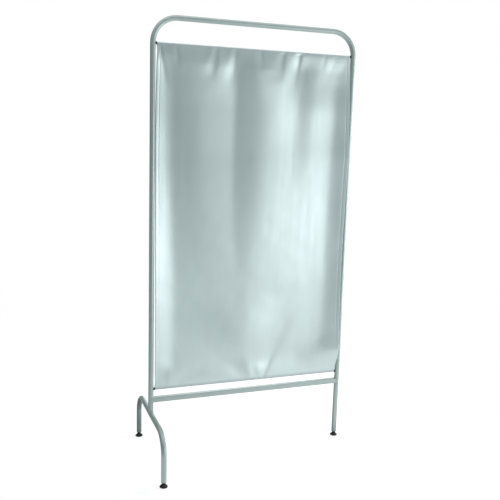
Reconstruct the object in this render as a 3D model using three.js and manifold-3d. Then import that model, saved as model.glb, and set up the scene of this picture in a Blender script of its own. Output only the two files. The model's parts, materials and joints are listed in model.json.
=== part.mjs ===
// A ward privacy screen: one bent tube frame that holds a hanging sheet between two rods. The frame
// stands on a bowed, two-footed leg at its left end and on its own straight post at its right end,
// with a levelling foot under each of the three tube ends.
// Millimetres. X runs across the screen, Y from its front to its rear, Z up from the floor.
import * as THREE from "three";
import { mergeVertices } from "three/addons/utils/BufferGeometryUtils.js";
import Module from "manifold-3d";

const wasm = await Module();
wasm.setup();

// Driving dimensions of the frame
const overallHeight = 1700;
const postSpacing = 810; // between the centrelines of the two posts
const tubeDiameter = 20;
const tubeWall = 1.5;
const cornerRadius = 92; // of the centreline

// The bowed leg
const bowSpread = 456; // between the centrelines of its two legs
const bowTop = 202; // above the floor
const bowBendRadius = 77; // of the centreline

// The lower rail, a square tube
const railTop = 259; // above the floor
const railSide = 20;
const railWall = 1.5;
const railEdgeRadius = 3;

// The rods and their bushes
const rodDiameter = 6;
const rodChamfer = 0.6;
const topRodDrop = 102; // from the top of the frame down to the rod's axis
const bottomRodLift = 33; // from the top of the rail up to the rod's axis
const rodInsertion = 5; // past the inner face of the post
const bushWall = 0.9;
const bushDepth = 7; // past the inner face of the post
const flangeDiameter = 10.4;
const flangeThickness = 4.5;
const flangeChamfer = 0.7;

// The sheet
const sheetThickness = 0.6;
const hemDepth = 22; // from the rod's axis to the weld that closes the hem
const foldDepth = 7; // of the deepest upright fold, to either side
const edgeCurl = 6; // how far the two upright edges turn to the rear
const edgeCurlWidth = 18;

// The levelling feet
const padDiameter = 30;
const padHeight = 12.4;
const padTopDiameter = 13;
const padRimHeight = 3.2;
const padChamfer = 0.8;
const socketFloor = 1.8; // of plastic under the ball
const ballDiameter = 9;
const neckDiameter = 6.4;
const studDiameter = 8;
const studLength = 23; // above the hexagon
const studChamfer = 0.8;
const hexWidth = 10; // across the flats
const hexHeight = 4;
const insertFlange = 1.5;
const insertDepth = 20; // inside the tube
const insertWeb = 0.8; // how far the ribs stand out of the insert's body
const ribCount = 3;

// Clearances and cuts
const gap = 0.3; // between two pieces that touch
const weldLeg = 2.6;
const overrun = 2; // of a cutter past what it cuts

// Facets
const tubeSides = 20;
const smallSides = 16;
const bendSteps = 9;
const hemRungs = 3; // points from a hem's outermost one down to its rod's axis, on either side
const sheetColumns = 33;
const mergeTolerance = 1e-4;

// What follows from them
const tubeRadius = tubeDiameter / 2;
const boreRadius = tubeRadius - tubeWall;
const postX = postSpacing / 2;
const postFace = postX - tubeRadius; // the inner face of a post
const bowLine = bowTop - tubeRadius;
const railLine = railTop - railSide / 2;
const topRodLine = overallHeight - topRodDrop;
const bottomRodLine = railTop + bottomRodLift;
const rodRadius = rodDiameter / 2;
const bushBore = rodRadius + gap;
const shankRadius = bushBore + bushWall;
const hexFloor = padHeight + gap;
const flangeFloor = hexFloor + hexHeight + gap;
const tubeFloor = flangeFloor + insertFlange + gap;

const materials = {
  silverPaint: { color: 0xb4c0be, roughness: 0.45, metalness: 0.3 },
  silverSheet: { color: 0xc2d0d2, roughness: 0.4, metalness: 0 },
  blackPlastic: { color: 0x141617, roughness: 0.5, metalness: 0 },
  greySteel: { color: 0x8f9596, roughness: 0.35, metalness: 1 },
  blackSteel: { color: 0x25282a, roughness: 0.45, metalness: 0.8 },
};

// Solids

// A closed geometry as a solid, with the corners that coincide merged.
function solidFrom(geometry) {
  const bare = geometry.index ? geometry.toNonIndexed() : geometry.clone();
  bare.deleteAttribute("normal");
  bare.deleteAttribute("uv");
  const merged = mergeVertices(bare, mergeTolerance);
  const index = merged.index.array;
  const triangles = [];
  for (let i = 0; i < index.length; i += 3) {
    const [a, b, c] = [index[i], index[i + 1], index[i + 2]];
    if (a !== b && b !== c && c !== a) triangles.push(a, b, c);
  }
  const vertProperties = merged.attributes.position.array;
  return new wasm.Manifold(
    new wasm.Mesh({ numProp: 3, vertProperties, triVerts: new Uint32Array(triangles) }),
  );
}

function meshFrom(name, solid, material) {
  const { numProp, numVert, vertProperties, triVerts } = solid.getMesh();
  const corners = new Float32Array(numVert * 3);
  for (let i = 0; i < numVert; i++) {
    corners.set(vertProperties.subarray(i * numProp, i * numProp + 3), i * 3);
  }
  const geometry = new THREE.BufferGeometry();
  geometry.setAttribute("position", new THREE.BufferAttribute(corners, 3));
  geometry.setIndex(new THREE.BufferAttribute(new Uint32Array(triVerts), 1));
  const mesh = new THREE.Mesh(geometry, new THREE.MeshStandardMaterial(material));
  mesh.name = name;
  return mesh;
}

function ring(radius, sides) {
  return Array.from({ length: sides }, (_, i) => {
    const angle = (2 * Math.PI * i) / sides;
    return new THREE.Vector2(radius * Math.cos(angle), radius * Math.sin(angle));
  });
}

// A round bar between two points.
function bar(radius, from, to, sides = tubeSides) {
  const along = to.clone().sub(from);
  const geometry = new THREE.CylinderGeometry(radius, radius, along.length(), sides);
  const turn = new THREE.Quaternion();
  turn.setFromUnitVectors(new THREE.Vector3(0, 1, 0), along.normalize());
  geometry.applyQuaternion(turn);
  const middle = from.clone().add(to).divideScalar(2);
  geometry.translate(middle.x, middle.y, middle.z);
  return solidFrom(geometry);
}

// A profile of [radius, height] pairs turned about the Z axis.
function turned(profile, sides = smallSides) {
  const points = profile.map(([radius, height]) => new THREE.Vector2(radius, height));
  const geometry = new THREE.LatheGeometry(points, sides);
  geometry.rotateX(Math.PI / 2);
  return solidFrom(geometry);
}

// A section drawn in Y and Z and drawn out along X from its middle.
function drawnAlongX(section, length) {
  const geometry = new THREE.ExtrudeGeometry(section, { depth: length, bevelEnabled: false });
  geometry.translate(0, 0, -length / 2);
  return geometry.applyMatrix4(new THREE.Matrix4().set(0, 0, 1, 0, 1, 0, 0, 0, 0, 1, 0, 0, 0, 0, 0, 1));
}

// Tubes

// A route with one ring at each of its stations, so that the straight runs take none.
class StationPath extends THREE.Curve {
  constructor(stations) {
    super();
    this.stations = stations;
    this.steps = stations.length - 1;
  }

  getPointAt(share, target = new THREE.Vector3()) {
    return target.copy(this.stations[Math.round(share * this.steps)].point);
  }

  getTangentAt(share, target = new THREE.Vector3()) {
    return target.copy(this.stations[Math.round(share * this.steps)].tangent);
  }
}

// The stations of a polyline whose corners are bent round.
function bentStations(corners, bendRadius) {
  const runs = corners.slice(1).map((to, i) => to.clone().sub(corners[i]).normalize());
  const stations = [{ point: corners[0], tangent: runs[0] }];
  corners.slice(1, -1).forEach((corner, i) => {
    const before = runs[i];
    const after = runs[i + 1];
    const turn = before.angleTo(after);
    const start = corner.clone().addScaledVector(before, -bendRadius * Math.tan(turn / 2));
    const inward = after.clone().addScaledVector(before, -before.dot(after)).normalize();
    for (let step = 0; step <= bendSteps; step++) {
      const angle = (turn * step) / bendSteps;
      const point = start.clone();
      point.addScaledVector(before, bendRadius * Math.sin(angle));
      point.addScaledVector(inward, bendRadius * (1 - Math.cos(angle)));
      const tangent = before.clone().multiplyScalar(Math.cos(angle));
      tangent.addScaledVector(inward, Math.sin(angle));
      stations.push({ point, tangent });
    }
  });
  stations.push({ point: corners.at(-1), tangent: runs.at(-1) });
  return stations;
}

function bentTube(corners, bendRadius) {
  const section = new THREE.Shape(ring(tubeRadius, tubeSides));
  section.holes.push(new THREE.Path(ring(boreRadius, tubeSides)));
  const path = new StationPath(bentStations(corners, bendRadius));
  return solidFrom(
    new THREE.ExtrudeGeometry(section, { steps: path.steps, bevelEnabled: false, extrudePath: path }),
  );
}

const at = (x, y, z) => new THREE.Vector3(x, y, z);

// The outer surfaces that other pieces are fitted to, each grown by a clearance or by a weld.
const bowBar = (grow) =>
  bar(tubeRadius + grow, at(-postX, -bowSpread / 2, bowLine), at(-postX, bowSpread / 2, bowLine));
const postBar = (side, grow, low, high) =>
  bar(tubeRadius + grow, at(side * postX, 0, low), at(side * postX, 0, high));

// The frame: the left post stands on the bow, and the right one reaches down to its own foot.
function frameTube() {
  const shoulder = overallHeight - tubeRadius;
  let solid = bentTube(
    [at(-postX, 0, bowLine), at(-postX, 0, shoulder), at(postX, 0, shoulder), at(postX, 0, tubeFloor)],
    cornerRadius,
  );
  solid = solid.subtract(bowBar(gap));
  for (const side of [-1, 1]) {
    for (const height of [topRodLine, bottomRodLine]) {
      const inside = at(side * postX, 0, height);
      const face = at(side * postFace, 0, height);
      const outside = at(side * (postFace - flangeThickness), 0, height);
      solid = solid.subtract(bar(shankRadius + gap, inside, outside, smallSides));
      solid = solid.subtract(bar(flangeDiameter / 2 + gap, face, outside, smallSides)); // the flange's seat
    }
  }
  return solid;
}

function footBow() {
  const reach = bowSpread / 2;
  return bentTube(
    [at(-postX, -reach, tubeFloor), at(-postX, -reach, bowLine), at(-postX, reach, bowLine), at(-postX, reach, tubeFloor)],
    bowBendRadius,
  );
}

// Rail

function roundedSquare(side, radius) {
  const half = side / 2;
  const straight = half - radius;
  const cornerAngles = [0, 45, 90].map(THREE.MathUtils.degToRad);
  return [0, 1, 2, 3].flatMap((quarter) =>
    cornerAngles.map((angle) => {
      const point = new THREE.Vector2(straight + radius * Math.cos(angle), straight + radius * Math.sin(angle));
      return point.rotateAround(new THREE.Vector2(), (quarter * Math.PI) / 2);
    }),
  );
}

// The rail's outer surface as a solid bar, grown by a clearance or by a weld.
function railBar(grow, length) {
  const section = new THREE.Shape(roundedSquare(railSide + 2 * grow, railEdgeRadius + grow));
  return solidFrom(drawnAlongX(section, length).translate(0, 0, railLine));
}

function lowerRail() {
  const section = new THREE.Shape(roundedSquare(railSide, railEdgeRadius));
  section.holes.push(new THREE.Path(roundedSquare(railSide - 2 * railWall, railEdgeRadius - railWall)));
  let solid = solidFrom(drawnAlongX(section, postSpacing).translate(0, 0, railLine));
  for (const side of [-1, 1]) {
    solid = solid.subtract(postBar(side, gap, railLine - railSide, railLine + railSide));
  }
  return solid;
}

// Welds: the metal that fills the corner where one surface meets another.

function weldBead(carrier, rider) {
  return carrier(weldLeg).intersect(rider(weldLeg)).subtract(carrier(gap)).subtract(rider(gap));
}

function bowWeld() {
  return weldBead(bowBar, (grow) => postBar(-1, grow, bowLine, bowTop + railSide));
}

function railWeld(side) {
  return weldBead(
    (grow) => postBar(side, grow, railLine - railSide, railLine + railSide),
    (grow) => railBar(grow, postSpacing),
  );
}

// Rods and bushes

function rod(height) {
  const reach = postFace + rodInsertion;
  const solid = turned([
    [0, -reach],
    [rodRadius - rodChamfer, -reach],
    [rodRadius, rodChamfer - reach],
    [rodRadius, reach - rodChamfer],
    [rodRadius - rodChamfer, reach],
    [0, reach],
  ]);
  return solid.rotate([0, 90, 0]).translate([0, 0, height]);
}

// A flanged bush that lines the hole in a post; its own Z axis points into the post.
function rodBush() {
  const flangeRadius = flangeDiameter / 2;
  return turned([
    [bushBore, -flangeThickness - gap],
    [flangeRadius - flangeChamfer, -flangeThickness - gap],
    [flangeRadius, flangeChamfer - flangeThickness - gap],
    [flangeRadius, -gap],
    [shankRadius, -gap],
    [shankRadius, bushDepth],
    [bushBore, bushDepth],
    [bushBore, -flangeThickness - gap],
  ]);
}

// Sheet

// Upright folds: where each one runs, from the left edge, its depth to the rear and its half width.
const foldPlaceShares = [0.07, 0.236, 0.383, 0.53, 0.72, 0.93];
const foldDepthShares = [0.7, -0.9, 0.8, -1, -0.2, 0.85];
const foldWidthShare = 0.075;
const foldRiseShare = 0.16; // of the sheet's height, from the hem to a fold's full depth
const rowShares = [0, 0.04, 0.09, 0.16, 0.3, 0.5, 0.7, 0.84, 0.91, 0.96, 1];

const sheetWidth = 2 * (postFace - gap - flangeThickness - gap);
const hemRadius = bushBore + sheetThickness;
const upperWeld = topRodLine - hemDepth;
const lowerWeld = bottomRodLine + hemDepth;

// How far the sheet lies to the rear of its flat plane.
function foldAt(x, z) {
  const fromHem = Math.min(upperWeld - z, z - lowerWeld) / (foldRiseShare * (upperWeld - lowerWeld));
  const rise = THREE.MathUtils.smoothstep(fromHem, 0, 1);
  const across = x / sheetWidth + 1 / 2;
  const folds = foldPlaceShares.reduce((sum, place, i) => {
    const off = (across - place) / foldWidthShare;
    return sum + foldDepth * foldDepthShares[i] * Math.exp(-off * off);
  }, 0);
  const fromEdge = sheetWidth / 2 - Math.abs(x);
  const curl = edgeCurl * (1 - THREE.MathUtils.smoothstep(fromEdge, 0, edgeCurlWidth));
  return rise * (folds + curl);
}

// The loop of a hem round its rod, from the front of the sheet to the rear; up is 1 at the top hem.
function hemArc(radius, rodLine, up) {
  const hemSteps = 2 * hemRungs - 1;
  return Array.from({ length: hemSteps + 1 }, (_, i) => {
    const angle = Math.PI * (1 - i / hemSteps);
    return new THREE.Vector2(radius * Math.cos(angle), rodLine + up * radius * Math.sin(angle));
  });
}

// Each rung is a front and a rear point of the sheet at one height, in Y and Z, from the lower hem to the upper.
function sheetRungs() {
  const across = (arc) => Array.from({ length: hemRungs }, (_, i) => [arc[i], arc.at(-1 - i)]);
  const flat = rowShares.map((share) => {
    const height = THREE.MathUtils.lerp(lowerWeld, upperWeld, share);
    return [new THREE.Vector2(-hemRadius, height), new THREE.Vector2(sheetThickness - hemRadius, height)];
  });
  return [
    ...across(hemArc(hemRadius, bottomRodLine, -1)).reverse(),
    ...flat,
    ...across(hemArc(hemRadius, topRodLine, 1)),
  ];
}

// The open space inside a hem, which narrows down to its weld.
function hemSpace(rodLine, up) {
  const seam = new THREE.Vector2(sheetThickness - hemRadius + gap, rodLine - up * hemDepth);
  const section = new THREE.Shape([...hemArc(bushBore, rodLine, up), seam]);
  return solidFrom(drawnAlongX(section, sheetWidth + 2 * overrun));
}

// Both skins of the sheet have their facets in pairs, so that its thickness is the same all over.
function privacySheet() {
  const rungs = sheetRungs();
  const corners = [];
  for (let column = 0; column <= sheetColumns; column++) {
    const x = sheetWidth * (column / sheetColumns - 1 / 2);
    for (const point of rungs.flat()) corners.push(x, point.x + foldAt(x, point.y), point.y);
  }
  const front = (column, rung) => 2 * (column * rungs.length + rung);
  const rear = (column, rung) => front(column, rung) + 1;
  const lastRung = rungs.length - 1;
  const index = [];
  const quad = (a, b, c, d) => index.push(a, b, c, a, c, d);
  for (let rung = 0; rung < lastRung; rung++) {
    for (let column = 0; column < sheetColumns; column++) {
      quad(front(column, rung), front(column + 1, rung), front(column + 1, rung + 1), front(column, rung + 1));
      quad(rear(column, rung), rear(column, rung + 1), rear(column + 1, rung + 1), rear(column + 1, rung));
    }
    quad(front(0, rung), front(0, rung + 1), rear(0, rung + 1), rear(0, rung));
    quad(
      front(sheetColumns, rung),
      rear(sheetColumns, rung),
      rear(sheetColumns, rung + 1),
      front(sheetColumns, rung + 1),
    );
  }
  for (let column = 0; column < sheetColumns; column++) {
    quad(front(column, 0), rear(column, 0), rear(column + 1, 0), front(column + 1, 0));
    quad(
      front(column, lastRung),
      front(column + 1, lastRung),
      rear(column + 1, lastRung),
      rear(column, lastRung),
    );
  }
  const geometry = new THREE.BufferGeometry();
  geometry.setAttribute("position", new THREE.Float32BufferAttribute(corners, 3));
  geometry.setIndex(index);
  return solidFrom(geometry).subtract(hemSpace(topRodLine, 1)).subtract(hemSpace(bottomRodLine, -1));
}

// Levelling feet, each about its own upright axis

function footPad() {
  const socketRadius = ballDiameter / 2 + gap;
  const socketLine = socketFloor + socketRadius;
  const mouthRadius = neckDiameter / 2 + gap;
  const mouthRise = Math.sqrt(socketRadius ** 2 - mouthRadius ** 2);
  const socketSteps = 6;
  const mouthAngle = Math.atan2(mouthRise, mouthRadius);
  const socket = Array.from({ length: socketSteps + 1 }, (_, i) => {
    const angle = mouthAngle - ((mouthAngle + Math.PI / 2) * i) / socketSteps;
    return [socketRadius * Math.cos(angle), socketLine + socketRadius * Math.sin(angle)];
  });
  socket[socketSteps][0] = 0;
  return turned([
    [0, 0],
    [padDiameter / 2 - padChamfer, 0],
    [padDiameter / 2, padChamfer],
    [padDiameter / 2, padRimHeight],
    [padTopDiameter / 2, padHeight - padChamfer],
    [padTopDiameter / 2 - padChamfer, padHeight],
    [mouthRadius, padHeight],
    ...socket,
  ]);
}

function footStud() {
  const ballRadius = ballDiameter / 2;
  const ballLine = socketFloor + gap + ballRadius;
  const neckRadius = neckDiameter / 2;
  const ballSteps = 6;
  const neckAngle = Math.acos(neckRadius / ballRadius);
  const ball = Array.from({ length: ballSteps + 1 }, (_, i) => {
    const angle = -Math.PI / 2 + ((neckAngle + Math.PI / 2) * i) / ballSteps;
    return [ballRadius * Math.cos(angle), ballLine + ballRadius * Math.sin(angle)];
  });
  ball[0][0] = 0;
  const hexTop = hexFloor + hexHeight;
  const studRadius = studDiameter / 2;
  const spindle = turned([
    ...ball,
    [neckRadius, hexFloor],
    [studRadius, hexFloor],
    [studRadius, hexTop + studLength - studChamfer],
    [studRadius - studChamfer, hexTop + studLength],
    [0, hexTop + studLength],
  ]);
  const hexagon = bar(hexWidth / Math.sqrt(3), at(0, 0, hexFloor), at(0, 0, hexTop), 6);
  return spindle.add(hexagon);
}

// A ribbed plug in the tube's end, with the stud's hole through it.
function tubeInsert() {
  const studHole = studDiameter / 2 + gap;
  const outer = boreRadius - gap;
  const flangeTop = tubeFloor - gap;
  const ribPitch = insertDepth / ribCount;
  const ribs = Array.from({ length: ribCount }, (_, i) => {
    const foot = flangeTop + i * ribPitch;
    return [
      [outer - insertWeb, foot],
      [outer - insertWeb, foot + ribPitch / 2],
      [outer, foot + ribPitch / 2],
      [outer - insertWeb, foot + ribPitch],
    ];
  }).flat();
  return turned([
    [studHole, flangeFloor],
    [tubeRadius, flangeFloor],
    [tubeRadius, flangeTop],
    ...ribs,
    [studHole, flangeTop + insertDepth],
    [studHole, flangeFloor],
  ]);
}

// Assembly

const screen = new THREE.Group();
screen.add(meshFrom("frame_tube", frameTube(), materials.silverPaint));
screen.add(meshFrom("foot_bow", footBow(), materials.silverPaint));
screen.add(meshFrom("lower_rail", lowerRail(), materials.silverPaint));
screen.add(meshFrom("bow_weld", bowWeld(), materials.silverPaint));
screen.add(meshFrom("top_rod", rod(topRodLine), materials.greySteel));
screen.add(meshFrom("bottom_rod", rod(bottomRodLine), materials.greySteel));
screen.add(meshFrom("privacy_sheet", privacySheet(), materials.silverSheet));

const sides = { left: -1, right: 1 };
const rodLines = { top: topRodLine, bottom: bottomRodLine };
for (const [hand, side] of Object.entries(sides)) {
  screen.add(meshFrom(`rail_weld_${hand}`, railWeld(side), materials.silverPaint));
  for (const [level, height] of Object.entries(rodLines)) {
    const bush = meshFrom(`rod_bush_${level}_${hand}`, rodBush(), materials.blackPlastic);
    bush.position.set(side * postFace, 0, height);
    bush.rotation.y = (side * Math.PI) / 2;
    screen.add(bush);
  }
}

const footPlaces = {
  front: [-postX, -bowSpread / 2],
  rear: [-postX, bowSpread / 2],
  right: [postX, 0],
};
for (const [place, [x, y]] of Object.entries(footPlaces)) {
  const foot = new THREE.Group();
  foot.position.set(x, y, 0);
  foot.add(meshFrom(`tube_insert_${place}`, tubeInsert(), materials.blackPlastic));
  foot.add(meshFrom(`foot_stud_${place}`, footStud(), materials.blackSteel));
  foot.add(meshFrom(`foot_pad_${place}`, footPad(), materials.blackPlastic));
  screen.add(foot);
}

export default screen;
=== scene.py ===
import json
import math

import bmesh
import bpy
import numpy as np
from mathutils import Matrix, Vector

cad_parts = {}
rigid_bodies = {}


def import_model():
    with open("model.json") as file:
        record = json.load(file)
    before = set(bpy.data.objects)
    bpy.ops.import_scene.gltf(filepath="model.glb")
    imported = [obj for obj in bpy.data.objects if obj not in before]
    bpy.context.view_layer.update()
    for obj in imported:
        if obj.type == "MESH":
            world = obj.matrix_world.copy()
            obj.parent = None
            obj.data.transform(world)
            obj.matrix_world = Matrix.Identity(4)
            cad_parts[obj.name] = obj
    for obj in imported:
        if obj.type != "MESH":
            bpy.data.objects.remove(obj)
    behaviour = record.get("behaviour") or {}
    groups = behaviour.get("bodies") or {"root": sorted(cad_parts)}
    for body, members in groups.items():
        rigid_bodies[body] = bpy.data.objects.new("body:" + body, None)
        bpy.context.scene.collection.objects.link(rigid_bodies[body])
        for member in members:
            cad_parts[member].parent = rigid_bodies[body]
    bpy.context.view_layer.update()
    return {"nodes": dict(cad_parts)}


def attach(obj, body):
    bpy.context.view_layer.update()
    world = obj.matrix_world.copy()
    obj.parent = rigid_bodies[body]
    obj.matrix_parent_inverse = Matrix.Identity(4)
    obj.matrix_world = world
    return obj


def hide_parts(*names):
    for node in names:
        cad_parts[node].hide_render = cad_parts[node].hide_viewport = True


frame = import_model()
print("frame loaded")

# Millimetres, as on the drawing. X runs across the screen, Y to the rear, Z up.
mm = 0.001
scene = bpy.context.scene
scene.view_settings.view_transform = "Standard"
for leftover in [o for o in scene.objects if o.name in ("Cube", "Light", "Camera")]:
    bpy.data.objects.remove(leftover)

sizes = {
    "height": 1700,
    "postX": 405,
    "tubeRadius": 10,
    "tubeWall": 1.5,
    "postEnd": 18.8,
    "bowLine": 192,
    "railLine": 249,
    "topRodLine": 1598,
    "bottomRodLine": 292,
}


# Camera

viewpoint = {
    "place": (-960.3, -2546.3, 1288.5),
    "lens": 50.01,
    "yaw": 0.3574,  # to the right of straight ahead
    "pitch": 0.167,  # downward
    "roll": 0.0297,
    "sensorWidth": 36,
    "sight": 50,  # in metres
}


def placeCamera():
    yaw, pitch, roll = viewpoint["yaw"], viewpoint["pitch"], viewpoint["roll"]
    ahead = Vector((
        math.sin(yaw) * math.cos(pitch),
        math.cos(yaw) * math.cos(pitch),
        -math.sin(pitch),
    ))
    right = ahead.cross(Vector((0, 0, 1))).normalized()
    up = right.cross(ahead)
    across = right * math.cos(roll) + up * math.sin(roll)
    upward = up * math.cos(roll) - right * math.sin(roll)
    data = bpy.data.cameras.new("camera")
    data.lens = viewpoint["lens"]
    data.sensor_width = viewpoint["sensorWidth"]
    data.clip_end = viewpoint["sight"]
    camera = bpy.data.objects.new("camera", data)
    turn = Matrix((across, upward, -ahead)).transposed().to_4x4()
    camera.matrix_world = Matrix.Translation(Vector(viewpoint["place"]) * mm) @ turn
    scene.collection.objects.link(camera)
    scene.camera = camera


placeCamera()
print("camera placed")


# Node helpers

# A socket takes a plain value or what another node gives
def feed(tree, value, socket):
    if isinstance(value, bpy.types.NodeSocket):
        tree.links.new(value, socket)
    else:
        socket.default_value = value


def newNode(tree, kind, inputs=None, **settings):
    node = tree.nodes.new(kind)
    for key, value in settings.items():
        setattr(node, key, value)
    for key, value in (inputs or {}).items():
        feed(tree, value, node.inputs[key])
    return node


def mathNode(tree, operation, first, second, clamp=False):
    inputs = {0: first, 1: second}
    return newNode(tree, "ShaderNodeMath", inputs, operation=operation, use_clamp=clamp).outputs[0]


# A Mix node keeps its colours in inputs 6 and 7 and in output 2
def mixColours(tree, share, first, second):
    inputs = {0: share, 6: first, 7: second}
    return newNode(tree, "ShaderNodeMix", inputs, data_type="RGBA").outputs[2]


def spread(tree, value, low, high, newLow, newHigh):
    inputs = {"Value": value, "From Min": low, "From Max": high, "To Min": newLow, "To Max": newHigh}
    return newNode(tree, "ShaderNodeMapRange", inputs, clamp=True).outputs["Result"]


def noiseAt(tree, place, scale, detail, roughness=0.5):
    inputs = {"Vector": place, "Scale": scale, "Detail": detail, "Roughness": roughness}
    return newNode(tree, "ShaderNodeTexNoise", inputs).outputs["Fac"]


def stretched(tree, place, factors):
    return newNode(tree, "ShaderNodeMapping", {"Vector": place, "Scale": factors}).outputs["Vector"]


def objectPlace(tree):
    return newNode(tree, "ShaderNodeTexCoord").outputs["Object"]


# A group is given the usual value of each input, and a value of the kind of each output
def newGroup(name, inputs, outputs):
    tree = bpy.data.node_groups.new(name, "ShaderNodeTree")
    for direction, values in (("INPUT", inputs), ("OUTPUT", outputs)):
        for label, value in values.items():
            kind = "NodeSocketColor" if isinstance(value, tuple) else "NodeSocketFloat"
            socket = tree.interface.new_socket(label, in_out=direction, socket_type=kind)
            socket.default_value = value
    entry = newNode(tree, "NodeGroupInput")
    leave = newNode(tree, "NodeGroupOutput")
    return tree, entry.outputs, leave.inputs, objectPlace(tree)


# Effects that several finishes share

toneForm = {
    "detail": 3,
    "middle": 0.5,
    "gain": 4,  # the noise keeps within about a quarter of its middle
}


# Slow drift of a colour between a lighter and a darker tone
def buildToneGroup():
    grey = (0.5, 0.5, 0.5, 1)
    inputs = {"Colour": grey, "Depth": 0.06, "Scale": 6}
    tree, given, result, place = newGroup("toneDrift", inputs, {"Colour": grey})
    cloud = noiseAt(tree, place, given["Scale"], toneForm["detail"])
    swing = mathNode(tree, "SUBTRACT", cloud, toneForm["middle"])
    depth = mathNode(tree, "MULTIPLY", given["Depth"], toneForm["gain"])
    gain = mathNode(tree, "ADD", 1, mathNode(tree, "MULTIPLY", swing, depth))
    scaled = newNode(tree, "ShaderNodeVectorMath", {0: given["Colour"], "Scale": gain}, operation="SCALE")
    feed(tree, scaled.outputs[0], result["Colour"])
    return tree


pebbleForm = {
    "fineDetail": 2,
    "fineRoughness": 0.6,
    "fineShare": 0.6,
    "coarseScale": 0.3,  # beside the fine one
    "coarseDetail": 1,
    "coarseShare": 0.4,
    "speckle": (0.5, 0.8, 0, 1),
}


# Fine pebbled skin of powder coat and moulded plastic
def buildPebbleGroup():
    tree, given, result, place = newGroup("pebbledSkin", {"Scale": 900}, {"Height": 0, "Speckle": 0})
    fine = noiseAt(tree, place, given["Scale"], pebbleForm["fineDetail"], pebbleForm["fineRoughness"])
    coarseScale = mathNode(tree, "MULTIPLY", given["Scale"], pebbleForm["coarseScale"])
    coarse = noiseAt(tree, place, coarseScale, pebbleForm["coarseDetail"])
    fineHeight = mathNode(tree, "MULTIPLY", fine, pebbleForm["fineShare"])
    coarseHeight = mathNode(tree, "MULTIPLY", coarse, pebbleForm["coarseShare"])
    feed(tree, mathNode(tree, "ADD", fineHeight, coarseHeight), result["Height"])
    feed(tree, spread(tree, fine, *pebbleForm["speckle"]), result["Speckle"])
    return tree


scuffForm = {
    "stretch": (1, 1, 0.12),
    "detail": 6,
    "roughness": 0.75,
    "streaks": (0.58, 0.66, 0, 1),
    "patchScale": 5,
    "patchDetail": 2,
    "patches": (0.48, 0.62, 0, 1),
}


# Small scuffs that follow the length of a piece
def buildScuffGroup():
    tree, given, result, place = newGroup("scuffs", {"Scale": 40, "Amount": 0.3}, {"Mask": 0})
    drawnOut = stretched(tree, place, scuffForm["stretch"])
    streaks = noiseAt(tree, drawnOut, given["Scale"], scuffForm["detail"], scuffForm["roughness"])
    patches = noiseAt(tree, place, scuffForm["patchScale"], scuffForm["patchDetail"])
    fine = spread(tree, streaks, *scuffForm["streaks"])
    area = spread(tree, patches, *scuffForm["patches"])
    mask = mathNode(tree, "MULTIPLY", mathNode(tree, "MULTIPLY", fine, area), given["Amount"], clamp=True)
    feed(tree, mask, result["Mask"])
    return tree


dustForm = {
    "level": (0.35, 1, 0, 1),  # by how far a face looks up
    "scale": 120,
    "detail": 5,
    "roughness": 0.7,
    "patches": (0.4, 0.7, 0.2, 1),
}


# Dust that lies on what faces upward
def buildDustGroup():
    tree, given, result, place = newGroup("dustFall", {"Amount": 0.3}, {"Mask": 0})
    normal = newNode(tree, "ShaderNodeNewGeometry").outputs["Normal"]
    upward = newNode(tree, "ShaderNodeSeparateXYZ", {0: normal}).outputs["Z"]
    level = spread(tree, upward, *dustForm["level"])
    cloud = noiseAt(tree, place, dustForm["scale"], dustForm["detail"], dustForm["roughness"])
    patches = spread(tree, cloud, *dustForm["patches"])
    mask = mathNode(tree, "MULTIPLY", mathNode(tree, "MULTIPLY", level, patches), given["Amount"], clamp=True)
    feed(tree, mask, result["Mask"])
    return tree


toneGroup = buildToneGroup()
pebbleGroup = buildPebbleGroup()
scuffGroup = buildScuffGroup()
dustGroup = buildDustGroup()


def useGroup(tree, group, **values):
    return newNode(tree, "ShaderNodeGroup", values, node_tree=group).outputs


def newMaterial(name, values):
    material = bpy.data.materials.new(name)
    material.use_nodes = True
    tree = material.node_tree
    sockets = tree.nodes["Principled BSDF"].inputs
    for label, value in values.items():
        feed(tree, value, sockets[label])
    return material, tree, sockets


def addBump(tree, sockets, height, strength, distance):
    inputs = {"Strength": strength, "Distance": distance * mm, "Height": height}
    feed(tree, newNode(tree, "ShaderNodeBump", inputs).outputs["Normal"], sockets["Normal"])


# Finishes

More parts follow.
